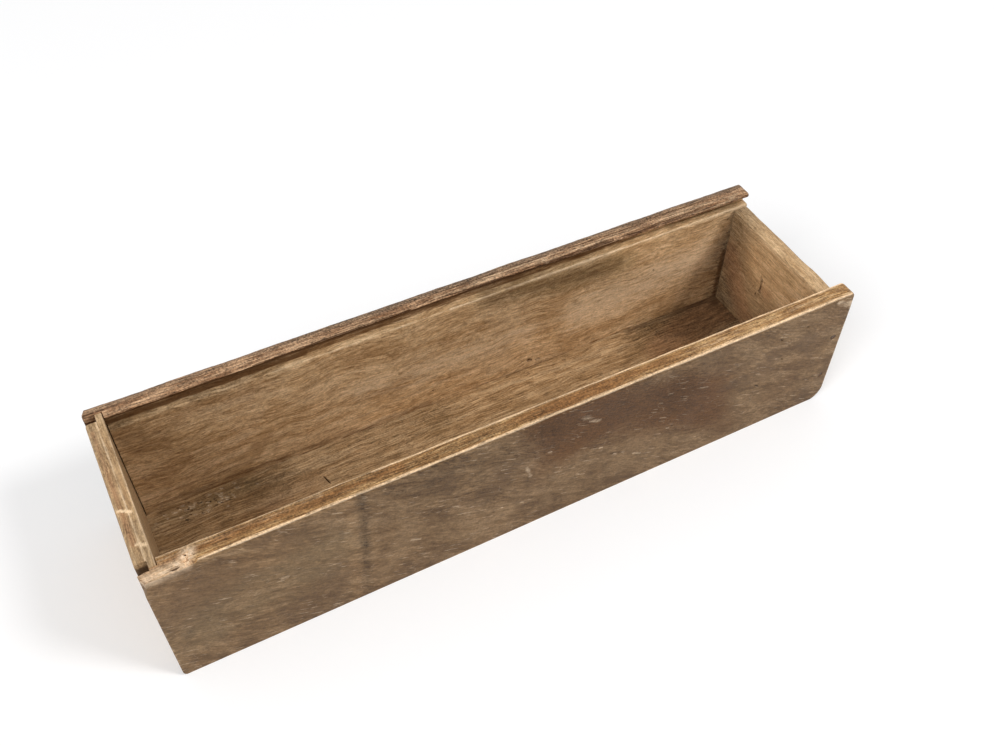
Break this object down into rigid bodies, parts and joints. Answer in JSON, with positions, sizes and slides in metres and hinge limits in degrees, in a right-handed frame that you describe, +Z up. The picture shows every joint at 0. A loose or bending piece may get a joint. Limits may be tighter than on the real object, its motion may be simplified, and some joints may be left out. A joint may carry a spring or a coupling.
{
  "type": "domino storage box",
  "caption": "Long narrow open wooden box with grooved side boards for a sliding lid, a tall end board as the lid's stop and a low end board that the lid passes over.",
  "frame": {"origin": "middle of the base, on the surface that the box stands on", "axes": "+X along the length to the low end board, where the lid goes in; +Y to the back side board; +Z up"},
  "size_m": [0.212, 0.058, 0.047],
  "materials": {
    "outside_wood": "dark worn patina, satin",
    "end_wood": "aged bare wood, matt",
    "bottom_wood": "aged bare wood, matt",
    "brad_iron": "dark rusted iron wire, matt"
  },
  "bodies": {
    "root": {"front_side_board": "outside_wood", "back_side_board": "outside_wood", "tall_end_board": "end_wood", "low_end_board": "end_wood", "bottom_board": "bottom_wood", "end_brads_front": "brad_iron", "end_brads_back": "brad_iron", "bottom_brads_front": "brad_iron", "bottom_brads_back": "brad_iron", "bottom_brads_ends": "brad_iron"}
  },
  "joints": []
}
